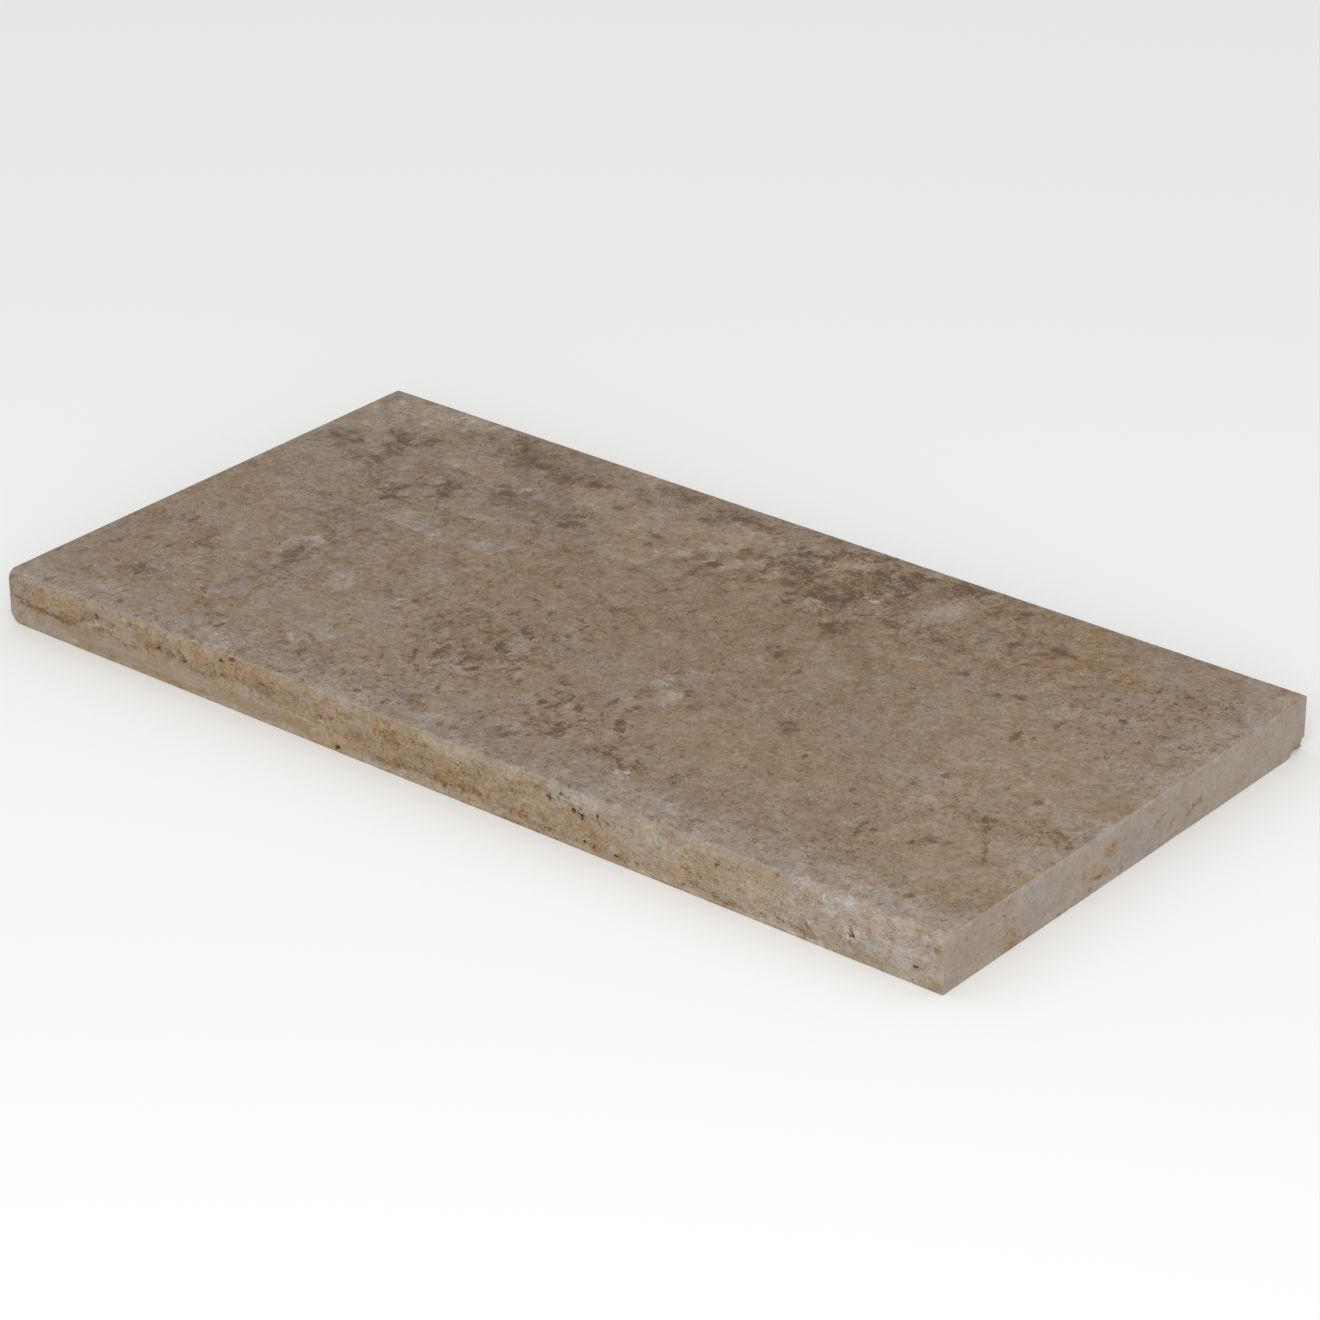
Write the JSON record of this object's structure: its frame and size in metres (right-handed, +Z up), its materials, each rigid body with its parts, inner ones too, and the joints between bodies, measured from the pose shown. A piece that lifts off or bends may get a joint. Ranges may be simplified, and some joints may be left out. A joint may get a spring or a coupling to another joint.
{
  "type": "pool coping stone",
  "caption": "Rectangular sawn travertine slab with one long top edge eased round as the nose, for edging a swimming pool.",
  "frame": {"origin": "centre of the bed, the flat underside", "axes": "+X along the stone, -Y towards the eased nose, +Z up out of the walking face"},
  "size_m": [0.61, 0.305, 0.03],
  "materials": {
    "travertine": "brushed face, mottled brown and beige, with small open pores"
  },
  "bodies": {
    "root": {"coping_stone": "travertine"}
  },
  "joints": []
}
